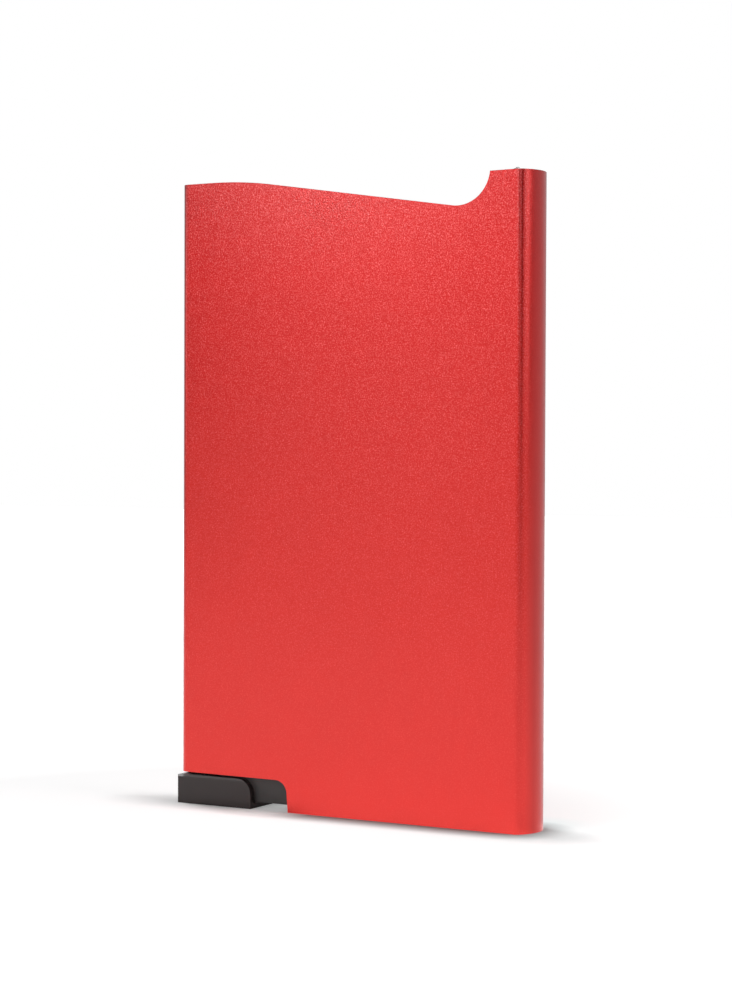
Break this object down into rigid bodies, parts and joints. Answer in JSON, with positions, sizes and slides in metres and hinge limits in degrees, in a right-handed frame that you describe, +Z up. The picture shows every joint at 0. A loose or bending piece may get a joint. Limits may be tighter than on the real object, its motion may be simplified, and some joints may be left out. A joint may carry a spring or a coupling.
{
  "type": "card holder",
  "caption": "Slim aluminium card holder with a thumb notch in its sloped top edge and a bottom slider that swings a stepped lever to fan the cards out.",
  "frame": {"origin": "middle of the bottom edge, between the front and back faces", "axes": "+Z up along the cards, +X to the right seen from the front, +Y from the front face to the back"},
  "size_m": [0.061, 0.008, 0.0959],
  "materials": {
    "anodised_sleeve": "bead-blasted and anodised red, fine sparkle",
    "insert_plastic": "moulded dark grey plastic",
    "slider_plastic": "moulded near-black plastic, fine satin texture",
    "lever_plastic": "moulded dark grey plastic",
    "pin_steel": "ground steel pin",
    "strip_felt": "dense dark grey felt pile"
  },
  "bodies": {
    "case": {"sleeve": "anodised_sleeve", "base_insert": "insert_plastic", "pivot_pin": "pin_steel", "felt_strip_left": "strip_felt", "felt_strip_right": "strip_felt"},
    "slider": {"thumb_slider": "slider_plastic"},
    "ejector": {"ejector_lever": "lever_plastic"}
  },
  "joints": [
    {"name": "ejector_swing", "type": "hinge", "parent": "case", "child": "ejector", "pos_m": [-0.0175, 0, 0.00722], "axis": [0, -1, 0], "range_deg": [0, 74]},
    {"name": "thumb_slide", "type": "slide", "parent": "case", "child": "slider", "axis": [1, 0, 0], "range_m": [0, 0.0064]}
  ],
  "couplings": [
    {"joint": "ejector_swing", "follows": "thumb_slide", "rad_per_m": 201.8}
  ]
}
